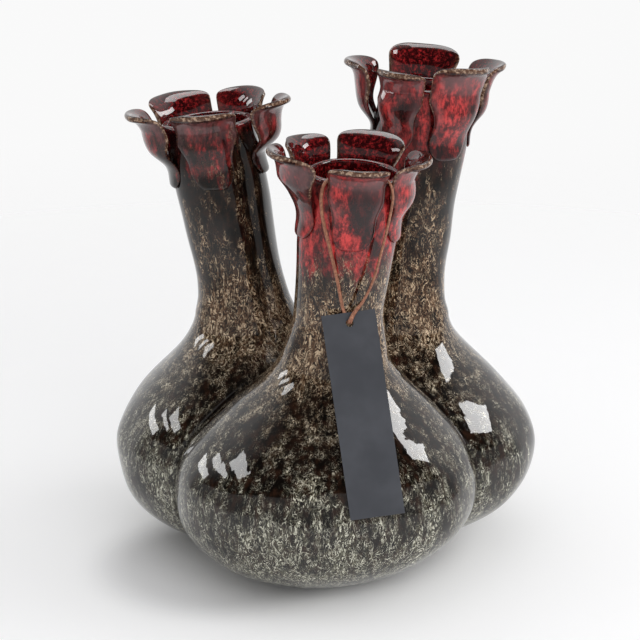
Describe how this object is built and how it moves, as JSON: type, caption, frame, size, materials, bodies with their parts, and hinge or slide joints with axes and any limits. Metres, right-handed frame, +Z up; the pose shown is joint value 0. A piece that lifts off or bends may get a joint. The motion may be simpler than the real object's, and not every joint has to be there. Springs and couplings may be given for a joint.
{
  "type": "vase",
  "caption": "Stoneware vase of joined round-bellied flasks with leaning tubular necks, petal-shaped rims and a card tag on a cord.",
  "frame": {"origin": "on the table, under the middle of the pottery's outline", "axes": "+Z up, -Y the front with the tag, +X to the right"},
  "size_m": [0.2512, 0.2423, 0.2869],
  "materials": {
    "body_glaze": "glossy near-black glaze thickly flecked with cream and olive grey",
    "neck_glaze": "the flecked glaze running into glossy oxblood red under the rim",
    "petal_glaze": "glossy oxblood red with near-black blotches and brown-black lips",
    "slate_card": "matt slate-grey card, bare",
    "leather_cord": "waxed brown leather cord"
  },
  "bodies": {
    "vase": {"lobe_front": "body_glaze", "lobe_left": "body_glaze", "lobe_right": "body_glaze", "neck_front": "neck_glaze", "neck_left": "neck_glaze", "neck_right": "neck_glaze", "petal_front_1": "petal_glaze", "petal_front_2": "petal_glaze", "petal_front_3": "petal_glaze", "petal_front_4": "petal_glaze", "petal_front_5": "petal_glaze", "petal_left_1": "petal_glaze", "petal_left_2": "petal_glaze", "petal_left_3": "petal_glaze", "petal_left_4": "petal_glaze", "petal_left_5": "petal_glaze", "petal_right_1": "petal_glaze", "petal_right_2": "petal_glaze", "petal_right_3": "petal_glaze", "petal_right_4": "petal_glaze", "petal_right_5": "petal_glaze", "cord_inner_left": "leather_cord", "cord_inner_right": "leather_cord", "cord_knot": "leather_cord"},
    "tag": {"tag_card": "slate_card", "tag_cord": "leather_cord"}
  },
  "joints": [
    {"name": "tag_swing", "type": "hinge", "parent": "vase", "child": "tag", "pos_m": [0.0167, -0.0632, 0.2421], "axis": [-1, 0, 0], "range_deg": [0, 30]}
  ]
}
